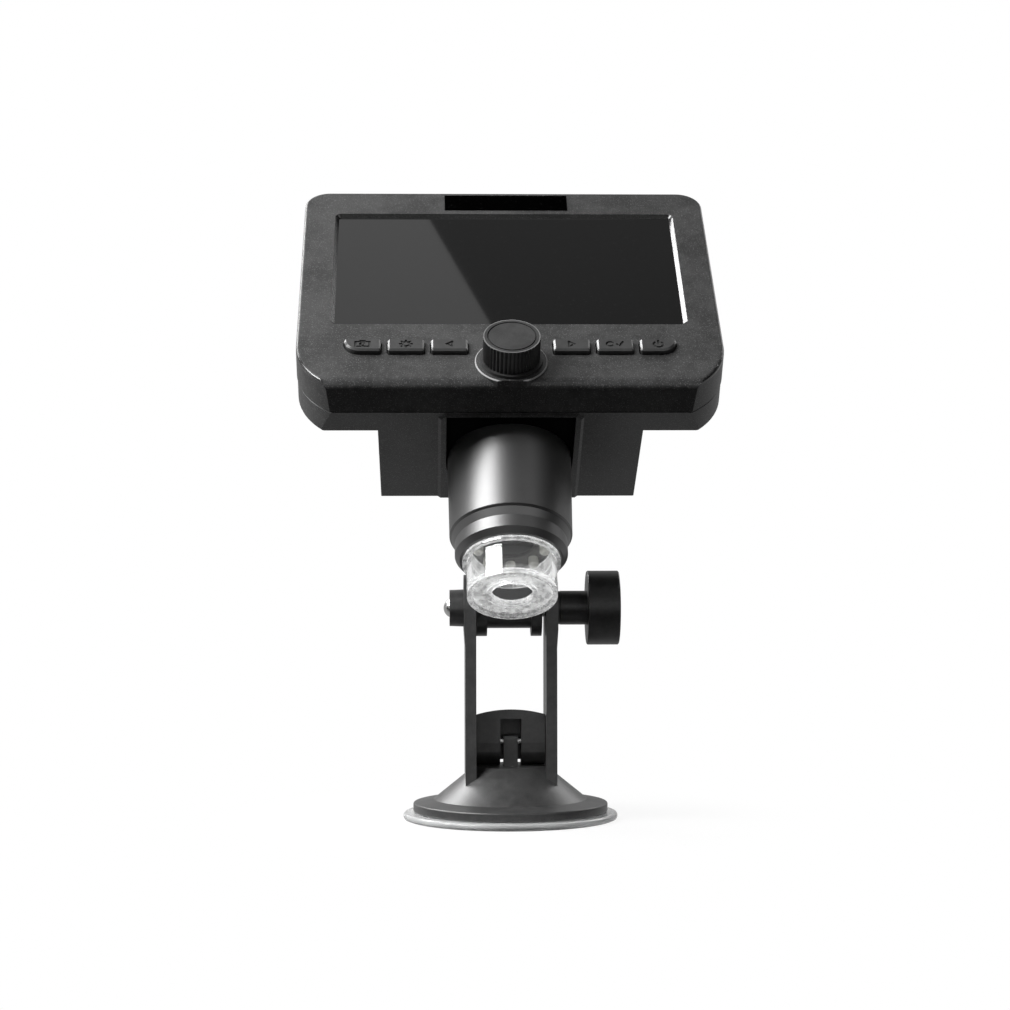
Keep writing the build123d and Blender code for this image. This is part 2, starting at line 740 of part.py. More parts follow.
def rear_shell():
    outline = case_outline()
    depth = case_depth - front_depth
    tray = extrude(offset(outline, -rear_inset), -depth)
    tray = fillet(tray.edges().group_by(Axis.Z)[0], rear_round)
    tray = chamfer(tray.edges().group_by(Axis.Z)[-1], seam_groove)
    below = Pos(0, 0, block_face - reach) * box_up(2 * reach, 2 * reach, reach)
    inside = extrude(offset(outline, -wall, kind=Kind.INTERSECTION), wall - depth)
    inner = slab * Pos(0, 0, -front_depth) * inside - Pos(0, 0, wall) * below
    block = block_form(0)
    block = fillet(block.edges().filter_by(Axis.Z).group_by(Axis.Y)[-1], block_edge)
    body = (slab * Pos(0, 0, -front_depth) * tray - below) + block + pad_form()
    body -= inner + block_form(block_wall)
    roof = Pos(0, 0, block_face) * extrude(pocket_outline(wall), floor_top - block_face)
    body += roof & block_form(0)
    body -= Pos(0, 0, block_face - reach) * extrude(pocket_outline(0), pocket_top - block_face + reach)
    body -= optic * cylinder(carriage_radius + carriage_hole, block_face - 1, floor_top + 1)
    for x in (-sensor_post, sensor_post):
        for y in (-sensor_post, sensor_post):
            body += optic * Pos(x, y) * cylinder(sensor_post_radius, floor_top - weld, sensor_level() - stack)
    body -= cover_seat()
    for x, level in bracket_screw_places():
        post = cylinder(screw_post_radius, weld, bracket_screw_length - wall / 2)
        body += Pos(x, -block_back, level) * along_y(post)
        body -= Pos(x, -block_back, level) * along_y(Cylinder(bracket_screw_radius, 2 * bracket_screw_length))
    for x, y in screw_columns:
        for side in (-1, 1):
            place = slab * Pos(side * x, y)
            body += place * cylinder(column_radius, rear_round - case_depth, -front_depth)
            body -= place * cylinder(case_screw_radius + slip, -2 * case_depth, 0)
            body -= place * cylinder(case_screw_head + slip, -2 * case_depth, screw_sink - case_depth)
    return body - slab * side_ports(slip)


def cover_seat():
    """Recess that the battery cover slides in, and the hatch behind it."""
    seat = Pos(0, -block_back, cover_low) * box_up(cover_width + 2 * slip, 2 * (cover_thickness + stack), block_top)
    hatch = Pos(0, -block_back, cover_low + cover_ledge) * box_up(
        cover_width - 2 * cover_ledge, 4 * block_wall, block_top - cover_low - 2 * cover_ledge)
    return seat + hatch


def battery_cover():
    height = block_top - cover_low - cover_head
    plate = Pos(0, -block_back - cover_thickness / 2, cover_low + stack) * box_up(cover_width, cover_thickness, height)
    for index in range(grip_count):
        level = cover_low + grip_rise + grip_pitch * index
        groove = along_x(Cylinder(grip_radius, grip_length))
        plate -= Pos(0, -block_back + grip_axis, level) * groove
    return plate


def window():
    return slab_box(view_width + 2 * window_margin - 2 * slip, view_height + 2 * window_margin - 2 * slip,
                    window_front, window_back)


def lcd_panel():
    """Display module: metal tray, with its flat lead at the lower edge."""
    near = -face_wall - stack
    width = case_width - 2 * (wall + lcd_side_gap)
    top = case_top - lcd_top_gap
    low = key_row + key_height / 2 + key_flange + lcd_key_gap
    body = slab_box(width, top - low, near, near - lcd_thickness, y=(top + low) / 2)
    lead_row = low - lcd_lead_length / 2 + weld
    middle = near - lcd_thickness / 2
    return body + slab_box(lcd_lead_width, lcd_lead_length, middle, middle - lcd_lead_thickness, y=lead_row)


def name_plate():
    body = slab_box(plate_width, plate_height, plate_thickness - plate_inset, -plate_inset,
                    x=plate_shift, y=plate_centre)
    return chamfer(body.edges().group_by(Axis.Z)[-1], plate_edge)


def main_board():
    width = case_width - 2 * (wall + board_side_gap)
    top = case_top - board_top_gap
    low = key_row + board_key_gap
    body = slab_box(width, top - low, -board_depth, -board_back, y=(top + low) / 2)
    for x, y, width, height, thickness in chips:
        body += slab_box(width, height, -board_back, -board_back - thickness, x=x, y=y)
    return body


def key_board_depth():
    """Key board behind the face: wall, flange, post, travel and switch."""
    return face_wall + 2 * stack + key_flange_thickness + key_post_length + key_travel + switch_height


def key_board():
    """Strip under the keys with one push switch below each."""
    near = -key_board_depth()
    width = 2 * (screw_columns[1][0] - column_radius)
    body = slab_box(width, key_board_height, near, near - key_board_thickness, y=key_row - key_board_drop)
    body -= Pos(0, knob_row) * cylinder(bush_radius + wall + slip, -2 * case_depth, 0)
    for side in (-1, 1):
        body -= Pos(side * screw_columns[1][0], screw_columns[1][1]) * cylinder(column_radius + slip, -reach, 0)
    for x, long_corner in key_places():
        body += slab_box(switch_size, key_height, near - weld, near + switch_height, x=x, y=key_row)
    return body


def key(x, long_corner):
    """One key: raised cap, flange behind the face, and the post that works its switch."""
    near = -face_wall - stack
    cap = Pos(0, 0, key_proud) * extrude(key_outline(0, long_corner), near - weld - key_proud)
    cap = chamfer(cap.edges().group_by(Axis.Z)[-1], key_edge)
    flange = slab_box(key_width + 2 * key_flange, key_height + 2 * key_flange, near, near - key_flange_thickness)
    post = cylinder(key_post_radius, near - key_flange_thickness - key_post_length, near)
    return Pos(x, key_row) * (cap + flange + post)


def usb_socket():
    """Charging inlet: pressed metal shell, open outwards, with its tongue."""
    outer = case_width / 2 - wall / 2
    top = -board_back
    body = slab_box(port_depth, port_width - 2 * slip, top - port_height + slip, top,
                    x=outer - port_depth / 2, y=port_row)
    mouth = slab_box(port_depth, port_width - 2 * slip - 2 * port_shell, top - port_height + slip + port_shell,
                     top - port_shell, x=outer - port_depth / 2 + port_shell, y=port_row)
    middle = top - port_height / 2
    tongue = slab_box(port_depth - 4 * port_shell, port_tongue_width, middle - port_tongue / 2,
                      middle + port_tongue / 2, x=outer - port_depth / 2 - port_shell, y=port_row)
    return body - mouth + tongue


def card_socket():
    """Slot for a memory card, open through the left wall."""
    outer = wall + slip - case_width / 2
    top = -board_back
    body = slab_box(card_depth, card_width + 2 * card_shell, top - card_height + slip, top,
                    x=outer + card_depth / 2, y=card_row)
    mouth = slab_box(card_depth, card_width - 2 * card_shell, top - card_height + slip + card_shell,
                     top - card_shell, x=outer + card_depth / 2 - card_shell, y=card_row)
    return body - mouth


def case_screws():
    screw = Rot(180, 0, 0) * pan_screw(case_screw_radius, case_screw_length, case_screw_head)
    seat = screw_sink - case_depth - stack / 2
    return Compound([Pos(side * x, y, seat) * screw for x, y in screw_columns for side in (-1, 1)])


# ---------------------------------------------------------------- focus drive
def pitch_angles():
    """Half angles of the bevel pair's pitch cones, for axes screen_lean short of square."""
    between = radians(90 - screen_lean)
    ratio = ring_teeth / pinion_teeth
    pinion = atan2(sin(between), ratio + cos(between))
    return pinion, between - pinion


def cone_distance():
    return bevel_module * ring_teeth / 2 / sin(pitch_angles()[1])


def apex():
    """Depth below the face, and head-frame height, where the two axes cross."""
    y, z = slab_point(knob_row, 0)
    depth = (-barrel_offset - y) / cos(lean)
    return depth, z - depth * sin(lean)


def bevel_gear(teeth, half_angle, bore, play):
    """Straight bevel gear with its apex at the origin, opening along +Z."""
    far = cone_distance()
    near = far - gear_face
    deep = 1.25 * bevel_module
    tall = (1 - play) * bevel_module

    def rim(distance, step):
        scale = distance / far
        r = distance * sin(half_angle) + step * cos(half_angle) * scale
        z = distance * cos(half_angle) - step * sin(half_angle) * scale
        return r, z

    toe = rim(near, -deep)
    heel = rim(far, -deep)
    blank = turned([(bore, toe[1]), toe, heel, (heel[0] - gear_back / 3, heel[1] + gear_back),
                    (bore, heel[1] + gear_back)])
    flank = pi / teeth * (1 - play) / 2
    sections = []
    for distance in (near, far):
        low_r, low_z = rim(distance, -deep - weld)
        top_r, top_z = rim(distance, tall)
        low_half = 1.35 * flank * low_r
        top_half = 0.55 * flank * top_r
        sections.append(Wire.make_polygon([(low_r, -low_half, low_z), (top_r, -top_half, top_z),
                                           (top_r, top_half, top_z), (low_r, low_half, low_z)], close=True))
    tooth = Solid.make_loft(sections, ruled=True)
    return blank + [Rot(0, 0, 360 * index / teeth) * tooth for index in range(teeth)]


def knob_top():
    return boss_height + stack + knob_flange_thickness + knob_height


def knurl(radius, depth, ribs):
    """Outline of a ribbed drum: one crest and one valley to each rib."""
    points = []
    for index in range(2 * ribs):
        r = radius - depth * (index % 2)
        turn = pi * index / ribs
        points.append((r * cos(turn), r * sin(turn)))
    return make_face(Polyline(*points, close=True))


def focus_knob():
    """Knob with fine upright ribs, a thin flange and a grooved top."""
    base = boss_height + stack
    top = knob_top()
    body = cylinder(knob_radius + knob_flange, base, base + knob_flange_thickness)
    body += cylinder(knob_radius - knob_rib_depth, base, top)
    ribbed = extrude(knurl(knob_radius, knob_rib_depth, knob_ribs), knob_height - knob_band)
    body += Pos(0, 0, base + knob_flange_thickness) * ribbed
    body += cylinder(knob_radius - stack, top - knob_band, top)
    groove = knob_radius - knob_groove
    body -= ring(groove, groove - knob_groove_width, top - knob_groove_width, top + 1)
    body -= cylinder(shaft_radius, base - 1, top - knob_cap)
    return Pos(0, knob_row) * body


def focus_shaft():
    end = -apex()[0] + (cone_distance() - gear_face) * cos(pitch_angles()[0])
    return Pos(0, knob_row) * cylinder(shaft_radius, end, knob_top() - knob_cap)


def shaft_bush():
    return Pos(0, knob_row) * ring(bush_radius, shaft_radius + running, -front_depth - bush_tail, boss_height - stack)


def drive_pinion():
    gear = bevel_gear(pinion_teeth, pitch_angles()[0], 0.0, gear_play)
    return Pos(0, knob_row, -apex()[0]) * (gear - cylinder(shaft_radius, -reach, reach))


def sleeve_top():
    """Upper end of the sleeve, above the back of its bevel ring."""
    return apex()[1] + cone_distance() * cos(pitch_angles()[1]) + gear_back + sleeve_neck


def focus_sleeve():
    """Threaded sleeve round the lens carriage, with its bevel ring."""
    gear = Rot(0, 0, -90) * bevel_gear(ring_teeth, pitch_angles()[1], carriage_radius + running, gear_play)
    body = ring(sleeve_radius, carriage_radius + running, floor_top + stack, sleeve_top())
    return optic * (body + Pos(0, 0, apex()[1]) * gear)


def lens_carriage():
    inner = carriage_radius - carriage_wall
    body = ring(carriage_radius, inner, carriage_bottom, sleeve_top() - carriage_drop)
    stop = carriage_bottom + stop_height
    return optic * (body + ring(inner + weld, inner - stop_width, stop, stop + stop_length))


def lens_cell():
    """Objective mount screwed into the foot of the carriage."""
    inner = carriage_radius - carriage_wall - running
    rim = carriage_bottom - stack
    body = ring(inner, lens_radius, rim - cell_rim, carriage_bottom + stop_height - stack)
    body += ring(carriage_radius, lens_radius, rim - cell_rim, rim)
    body += ring(cell_radius, lens_radius, cell_tip, rim)
    body += ring(cell_radius, lens_radius - 1, cell_tip, cell_tip + cell_lip)
    return optic * body


def lens(low, thickness, bulge):
    """Round lens, equally curved on both faces."""
    r = lens_radius - lens_play
    radius = (r * r + bulge * bulge) / (2 * bulge)
    body = cylinder(r, low, low + thickness)
    body = body & Pos(0, 0, low + thickness - radius) * Sphere(radius)
    return body & Pos(0, 0, low + radius) * Sphere(radius)


def front_lens():
    return optic * lens(cell_tip + cell_lip + stack, front_lens_thickness, front_lens_bulge)


def rear_lens():
    return optic * lens(carriage_bottom + rear_lens_rise, rear_lens_thickness, rear_lens_bulge)


def sensor_level():
    return sleeve_top() + sensor_rise


def sensor_board_part():
    level = sensor_level()
    body = Pos(0, 0, level) * box_up(sensor_board, sensor_board, sensor_board_thickness)
    body += Pos(0, 0, level - sensor_height) * box_up(sensor_size, sensor_size, sensor_height + weld)
    for x in (-sensor_post, sensor_post):
        for y in (-sensor_post, sensor_post):
            body -= Pos(x, y) * cylinder(sensor_hole, level - 1, level + 2 * sensor_board_thickness)
    return optic * body


def barrel_plate():
    """Black plate in the block's pocket that the barrel is screwed up to."""
    body = Pos(0, 0, plate_face) * extrude(pocket_outline(-slip), barrel_plate_thickness)
    return body - optic * cylinder(carriage_radius + carriage_hole, plate_face - 1, pocket_top)


def barrel():
    """Tapered tube with an inward flange at its top."""
    top = plate_face - stack
    body = turned([(0, top), (barrel_top_radius, top), (barrel_low_radius, barrel_end + barrel_edge),
                   (barrel_low_radius - barrel_edge, barrel_end), (0, barrel_end)])
    body -= cylinder(barrel_low_radius - barrel_wall, barrel_end - 1, top - barrel_flange)
    return optic * (body - cylinder(carriage_radius + carriage_hole, barrel_end, top + 1))


def nose():
    """Nose ring: spigot into the barrel, seat for the lamp board, socket for the clear tube."""
    spigot = barrel_low_radius - barrel_wall - slip
    rim = barrel_end - stack
    top = barrel_end + nose_spigot
    body = turned([(0, top), (spigot, top), (spigot, rim), (barrel_low_radius - barrel_edge, rim),
                   (nose_radius, barrel_end - nose_step), (nose_radius, nose_end + nose_chamfer),
                   (nose_radius - 0.8 * nose_chamfer, nose_end), (0, nose_end)])
    body -= cylinder(tube_radius + running, nose_end - 1, lamp_seat() - nose_ledge)
    body -= cylinder(led_board_radius - 0.9 * nose_ledge, nose_end, lamp_seat() + 1)
    return optic * (body - cylinder(led_board_radius + slip, lamp_seat(), top + 1))


def lamp_seat():
    """Top of the ledge over the clear tube's socket."""
    return nose_end + tube_spigot + stack + nose_ledge


def lamp_board():
    low = lamp_seat() + stack / 2
    return optic * ring(led_board_radius, led_board_hole, low, low + led_board_thickness)


def lamps():
    """Round light-emitting diodes, pointing down."""
    top = lamp_seat() + stack / 2
    lamp = cylinder(led_radius, top - led_height, top)
    lamp = chamfer(lamp.edges().group_by(Axis.Z)[0], led_edge)
    return Compound([optic * spot * lamp for spot in PolarLocations(led_circle, led_count)])


def clear_tube():
    """Clear guard: spigot, flange, wall, and a recessed floor with a collared hole."""
    inner = tube_radius - tube_wall
    body = ring(tube_radius, inner, tube_end, nose_end + tube_spigot)
    body += ring(tube_flange_radius, inner, nose_end - stack - tube_flange, nose_end - stack)
    floor = tube_end + tube_lip
    body += ring(inner + weld, tube_hole, floor, floor + tube_floor)
    collar = floor - tube_collar_drop
    return optic * (body + ring(tube_hole + tube_collar, tube_hole, collar, collar + tube_collar_height))


def battery():
    """Round cell with its positive cap, lying across the block."""
    level = (cover_low + block_top) / 2 - battery_drop
    depth = -block_back - block_wall - battery_radius - battery_gap
    shoulder = battery_length / 2 - battery_cap_length
    cell = cylinder(battery_radius, -battery_length / 2, shoulder)
    cell = chamfer(cell.edges().filter_by(GeomType.CIRCLE), battery_edge)
    cap = cylinder(battery_cap_radius, shoulder - weld, battery_length / 2)
    return Pos(0, depth, level) * along_x(cell + cap)


# ---------------------------------------------------------------- all pieces
def on_slab(shape):
    return head * slab * shape


parts = {
    "fork_base": fork_base(),
    "suction_disc": suction_disc(),
    "cup_stem": stem(),
    "cam_lever": Pos(0, 0, pin_height) * lever(),
    "lever_pin": lever_pin(),
    "clamp_knob": clamp_knob(),
    "clamp_bolt": clamp_bolt(),
    "clamp_nut": clamp_nut(),
    "clamp_washer": clamp_washer(),
    "tilt_bracket": head * bracket(),
    "bracket_screws": head * bracket_screws(),
    "front_shell": on_slab(front_shell()),
    "rear_shell": head * rear_shell(),
    "battery_cover": head * battery_cover(),
    "screen_window": on_slab(window()),
    "lcd_panel": on_slab(lcd_panel()),
    "name_plate": on_slab(name_plate()),
    "main_board": on_slab(main_board()),
    "key_board": on_slab(key_board()),
    "usb_socket": on_slab(usb_socket()),
    "card_socket": on_slab(card_socket()),
    "case_screws": on_slab(case_screws()),
    "focus_knob": on_slab(focus_knob()),
    "focus_shaft": on_slab(focus_shaft()),
    "shaft_bush": on_slab(shaft_bush()),
    "drive_pinion": on_slab(drive_pinion()),
    "focus_sleeve": head * focus_sleeve(),
    "lens_carriage": head * lens_carriage(),
    "lens_cell": head * lens_cell(),
    "front_lens": head * front_lens(),
    "rear_lens": head * rear_lens(),
    "sensor_board": head * sensor_board_part(),
    "barrel_plate": head * barrel_plate(),
    "barrel": head * barrel(),
    "barrel_nose": head * nose(),
    "lamp_board": head * lamp_board(),
    "lamps": head * lamps(),
    "clear_tube": head * clear_tube(),
    "battery": head * battery(),
}
key_names = ["camera_key", "settings_key", "left_key", "right_key", "ok_key", "power_key"]
for name, (x, long_corner) in zip(key_names, key_places()):
    parts[name] = on_slab(key(x, long_corner))

os.makedirs("parts", exist_ok=True)
for name, shape in parts.items():
    export_step(shape, f"parts/{name}.step")
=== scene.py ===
import json
from math import atan2, cos, pi, radians, sin

import bmesh
import bpy
from mathutils import Matrix, Vector


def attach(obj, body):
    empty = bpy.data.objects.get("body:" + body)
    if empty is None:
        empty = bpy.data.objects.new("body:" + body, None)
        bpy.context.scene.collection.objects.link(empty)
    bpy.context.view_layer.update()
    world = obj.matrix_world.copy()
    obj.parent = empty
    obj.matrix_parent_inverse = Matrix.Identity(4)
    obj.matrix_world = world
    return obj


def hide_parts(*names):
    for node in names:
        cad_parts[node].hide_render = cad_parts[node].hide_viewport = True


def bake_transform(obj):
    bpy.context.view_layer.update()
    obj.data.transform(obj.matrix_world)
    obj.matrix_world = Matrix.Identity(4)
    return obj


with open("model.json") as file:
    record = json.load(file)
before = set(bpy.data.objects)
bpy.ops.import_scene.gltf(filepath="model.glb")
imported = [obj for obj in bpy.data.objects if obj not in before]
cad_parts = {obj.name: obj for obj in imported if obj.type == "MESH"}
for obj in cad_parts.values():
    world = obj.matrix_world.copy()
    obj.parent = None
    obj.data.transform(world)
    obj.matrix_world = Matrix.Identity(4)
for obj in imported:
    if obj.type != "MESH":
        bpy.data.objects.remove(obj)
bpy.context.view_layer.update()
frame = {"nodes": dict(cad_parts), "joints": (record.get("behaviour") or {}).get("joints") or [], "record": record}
nodes = frame["nodes"]
joints = {joint["name"]: joint for joint in frame["joints"]}
mm = 0.001
weld = 0.001 * mm    # points closer than this are one
print("frame loaded with", len(nodes), "nodes")


# places taken from the frame

def frameAt(origin, normal):
    # local axes: x across the object, z along the normal
    z = Vector(normal).normalized()
    x = Vector((1, 0, 0))
    y = z.cross(x)
    turn = Matrix((x, y, z)).transposed().to_4x4()
    return Matrix.Translation(Vector(origin)) @ turn


# on the case's face at the focus knob, with y up the face
faceFrame = frameAt(joints["focus_turn"]["pos_m"], joints["focus_turn"]["axis"])
# on the optical axis, with z up the barrel
barrelFrame = frameAt(joints["sleeve_turn"]["pos_m"], joints["sleeve_turn"]["axis"])


def boxIn(node, place):
    # lowest and highest corner of a node, in a local frame
    back = place.inverted()
    points = [back @ vertex.co for vertex in nodes[node].data.vertices]
    low = Vector([min(point[i] for point in points) for i in range(3)])
    high = Vector([max(point[i] for point in points) for i in range(3)])
    return low, high


# shader maths

class Signal:
    # a node's output that can stand in a sum
    def __init__(self, finish, socket):
        self.finish = finish
        self.socket = socket

    def maths(self, operation, other, turned=False):
        first, second = (other, self) if turned else (self, other)
        return self.finish.node("ShaderNodeMath", {"operation": operation}, {0: first, 1: second})

    def __add__(self, other):
        return self.maths("ADD", other)

    __radd__ = __add__

    def __sub__(self, other):
        return self.maths("SUBTRACT", other)

    def __rsub__(self, other):
        return self.maths("SUBTRACT", other, turned=True)

    def __mul__(self, other):
        return self.maths("MULTIPLY", other)

    __rmul__ = __mul__

    def above(self, low, high):
        # 0 below low, 1 above high, smooth between
        return self.finish.node("ShaderNodeMapRange", {"interpolation_type": "SMOOTHSTEP"},
                                {"Value": self, "From Min": low, "From Max": high})

    def farther(self, low, high):
        # the same for a distance that is given squared
        return self.above(low ** 2, high ** 2)

    def highest(self, other):
        return self.maths("MAXIMUM", other)


class Finish:
    # one material, or the world, with its nodes
    def __init__(self, name, owner=None):
        self.owner = owner or bpy.data.materials.new(name)
        self.owner.use_nodes = True
        self.tree = self.owner.node_tree
        self.tree.nodes.clear()

    def node(self, kind, settings=None, values=None, output=0):
        made = self.tree.nodes.new(kind)
        for name, value in (settings or {}).items():
            setattr(made, name, value)
        for name, value in (values or {}).items():
            if isinstance(value, Signal):
                self.tree.links.new(value.socket, made.inputs[name])
            else:
                made.inputs[name].default_value = value
        return Signal(self, made.outputs[output])

    def blend(self, factor, first, second):
        # 6, 7 and the output 2 are the mix node's colour sockets
        return self.node("ShaderNodeMix", {"data_type": "RGBA"}, {0: factor, 6: first, 7: second}, output=2)

    def principled(self, values):
        return self.node("ShaderNodeBsdfPrincipled", None, values)

    def mixed(self, factor, first, second):
        return self.node("ShaderNodeMixShader", None, {0: factor, 1: first, 2: second})

    def sendOut(self, shader):
        isWorld = isinstance(self.owner, bpy.types.World)
        made = self.tree.nodes.new("ShaderNodeOutputWorld" if isWorld else "ShaderNodeOutputMaterial")
        self.tree.links.new(shader.socket, made.inputs["Surface"])

    def place(self):
        return self.node("ShaderNodeTexCoord", output=3)    # object coordinates

    def along(self, direction, start):
        # how far a point lies along a direction from a start
        reach = self.node("ShaderNodeVectorMath", {"operation": "DOT_PRODUCT"},
                          {0: self.place(), 1: direction}, output=1)
        return reach - direction.dot(start)

    def alongAxes(self, place, start):
        # the same along each local axis of a place
        return [self.along(place.col[axis].to_3d(), start) for axis in range(3)]

    def noise(self, size, detail, roughness=0.5, place=None):
        # size is the width of one lump in metres; the level swings about 0.5
        return self.node("ShaderNodeTexNoise", None, {"Vector": place or self.place(), "Scale": 1 / size,
                                                     "Detail": detail, "Roughness": roughness})

    def bump(self, height, depth):
        return self.node("ShaderNodeBump", None, {"Strength": 1.0, "Distance": depth, "Height": height})


def grey(level):
    return (level, level, level, 1)


# black plastics

mouldShared = {"coarse": 3.1, "coarseShare": 0.5, "grainGloss": 0.1, "toneSpan": (0.36, 0.64),
               "speck": 0.25 * mm, "dustBlur": 0.05, "dustColour": grey(0.12), "ior": 1.5}

plasticValues = {
    "case_plastic": {
        "dark": grey(0.02), "light": grey(0.052), "grain": 0.42 * mm, "patch": 14 * mm, "cloud": 2.6 * mm,
        "depth": 0.02 * mm, "speck": 0.3 * mm, "dust": 0.6, "dustFrom": 0.66, "dustColour": grey(0.17),
        "roughness": 0.44, "patchiness": 0.16, "specular": 0.55,
        "rub": {"low": (-1.3 * mm, -1.2 * mm), "high": (-0.08 * mm, -0.03 * mm), "side": (50 * mm, 51 * mm),
                "sill": (5 * mm, 6 * mm), "corner": (49 * mm, 51 * mm), "chin": (1 * mm, 5 * mm),
                # the bevel's darkening and the colour after it are painted shade on the window opening's bevel
                "share": 0.62, "paintedShade": 0.8, "colour": grey(0.004)},
        # a painted highlight: a pale ring on the round edge about the focus knob
        "rimHighlight": {"inner": (9.4 * mm, 9.5 * mm), "outer": (9.8 * mm, 9.9 * mm), "from": (0.2 * mm, 0.3 * mm),
                 "share": 0.9, "colour": grey(0.45)}},
    "key_plastic": {
        "dark": grey(0.036), "light": grey(0.052), "grain": 0.3 * mm, "patch": 6 * mm, "cloud": 1.8 * mm,
        "depth": 0.006 * mm, "dust": 0.25, "dustFrom": 0.73,
        "roughness": 0.33, "patchiness": 0.12, "specular": 0.55},
    "knob_plastic": {
        "dark": grey(0.026), "light": grey(0.046), "grain": 0.34 * mm, "patch": 8 * mm, "cloud": 2.2 * mm,
        "depth": 0.012 * mm, "dust": 0.3, "dustFrom": 0.73,
        "roughness": 0.42, "patchiness": 0.12, "specular": 0.5,
        # a painted highlight: a pale ring on the knob's top rim
        "rimHighlight": {"inner": (7.3 * mm, 7.4 * mm), "outer": (7.8 * mm, 7.9 * mm), "from": (8.3 * mm, 8.4 * mm),
                 "share": 0.8, "colour": grey(0.26)}},
    "barrel_plastic": {
        "dark": grey(0.017), "light": grey(0.023), "grain": 0.3 * mm, "patch": 18 * mm, "cloud": 4 * mm,
        "depth": 0.008 * mm, "dust": 0.12, "dustFrom": 0.75, "dustColour": grey(0.09),
        "roughness": 0.42, "patchiness": 0.05, "specular": 1.0, "ior": 1.72},
    "stand_plastic": {
        "dark": grey(0.03), "light": grey(0.058), "grain": 0.36 * mm, "patch": 12 * mm, "cloud": 2.4 * mm,
        "depth": 0.012 * mm, "dust": 0.3, "dustFrom": 0.73,
        "roughness": 0.4, "patchiness": 0.12, "specular": 0.8},
    # near-black, darker than the other plastics: the part's own black, deepened as painted shade for the shadow
    # about the barrel
    "gasket": {
        "dark": grey(0.002), "light": grey(0.003), "grain": 0.4 * mm, "patch": 9 * mm, "cloud": 3 * mm,
        "depth": 0.02 * mm, "speck": 0.3 * mm, "dust": 0.05, "dustFrom": 0.75, "dustColour": grey(0.05),
        "roughness": 0.8, "patchiness": 0.05, "specular": 0.05},
}


def rubbedSmoothAndShaded(finish, rub):
    # where fingers and cloths polish the skin: the window opening's bevel, and the case's lower corners; the
    # bevel's mask also carries painted shade, which darkens the window opening's bevel
    across, up, depth = finish.alongAxes(faceFrame, faceFrame.translation)
    sideways = across * across
    rim = depth.above(*rub["low"]) * (1 - depth.above(*rub["high"]))
    opening = (1 - sideways.farther(*rub["side"])) * up.above(*rub["sill"])
    lower = sideways.farther(*rub["corner"]) * (1 - up.above(*rub["chin"]))
    return rim * opening, rim * opening.highest(lower)


def paintedRimHighlight(finish, rimHighlight):
    # a round edge about the focus knob's axis, painted pale as a highlight where light catches it
    across, up, depth = finish.alongAxes(faceFrame, faceFrame.translation)
    away = across * across + up * up
    return away.farther(*rimHighlight["inner"]) * (1 - away.farther(*rimHighlight["outer"])) * depth.above(*rimHighlight["from"])


def mouldedPlastic(name, values):
    # black moulding with a spark-eroded skin, cloudy gloss and a little dust in the grain
    finish = Finish(name)
    grain = finish.noise(values["grain"], detail=3, roughness=0.65)
    coarse = finish.noise(values["grain"] * values["coarse"], detail=1)
    patches = finish.noise(values["patch"], detail=3)
    cloud = finish.noise(values["cloud"], detail=5, roughness=0.7)
    dustEnd = values["dustFrom"] + values["dustBlur"]
    dust = finish.noise(values["speck"], detail=0).above(values["dustFrom"], dustEnd)
    mottle = (patches * 0.5 + cloud * 0.5).above(*values["toneSpan"])
    tone = finish.blend(mottle, values["dark"], values["light"])
    tone = finish.blend(dust * values["dust"], tone, values["dustColour"])
    rough = values["roughness"] + (cloud - 0.5) * values["patchiness"]
    rough = rough + (grain - 0.5) * values["grainGloss"]
    if "rub" in values:
        bevel, rubbed = rubbedSmoothAndShaded(finish, values["rub"])
        rough = rough * (1 - rubbed * values["rub"]["share"])
        # painted shade: the window opening's bevel is darkened as if it lay in shadow
        tone = finish.blend(bevel * values["rub"]["paintedShade"], tone, values["rub"]["colour"])
    if "rimHighlight" in values:
        # painted highlight: the round edge is blended towards a pale grey
        edge = paintedRimHighlight(finish, values["rimHighlight"])
        tone = finish.blend(edge * values["rimHighlight"]["share"], tone, values["rimHighlight"]["colour"])
    finish.sendOut(finish.principled({
        "Base Color": tone, "Roughness": rough,
        "Specular IOR Level": values["specular"], "IOR": values["ior"],
        "Normal": finish.bump(grain + coarse * values["coarseShare"], values["depth"])}))
    return finish.owner


# smooth skins

glossShared = {"speck": 0.5 * mm, "dustSpan": (0.76, 0.8), "dust": 0.2, "dustColour": grey(0.05),
               "smearSpan": (0.5, 0.8), "specular": 0.5, "ior": 1.5}

glossValues = {
    "screen_glass": {"colour": grey(0.004), "roughness": 0.03, "smear": 22 * mm, "smearing": 0.02},
    "plate": {"colour": grey(0.0006), "roughness": 0.9, "smear": 9 * mm, "smearing": 0.06, "specular": 0.0},
    "lcd": {"colour": (0.012, 0.013, 0.016, 1), "roughness": 0.2, "smear": 30 * mm, "smearing": 0.05},
    "battery_wrap": {"colour": (0.06, 0.16, 0.38, 1), "roughness": 0.28, "smear": 12 * mm, "smearing": 0.1},
}


def glossPlastic(name, values):
    # polished or printed skin with faint wipe marks
    finish = Finish(name)
    smears = finish.noise(values["smear"], detail=4, roughness=0.6).above(*values["smearSpan"])
    dust = finish.noise(values["speck"], detail=0).above(*values["dustSpan"])
    finish.sendOut(finish.principled({
        "Base Color": finish.blend(dust * values["dust"], values["colour"], values["dustColour"]),
        "Roughness": values["roughness"] + smears * values["smearing"],
        "Specular IOR Level": values["specular"], "IOR": values["ior"]}))
    return finish.owner


# clear plastics

clearShared = {"scuff": 1.2 * mm, "scuffSpan": (0.62, 0.75)}

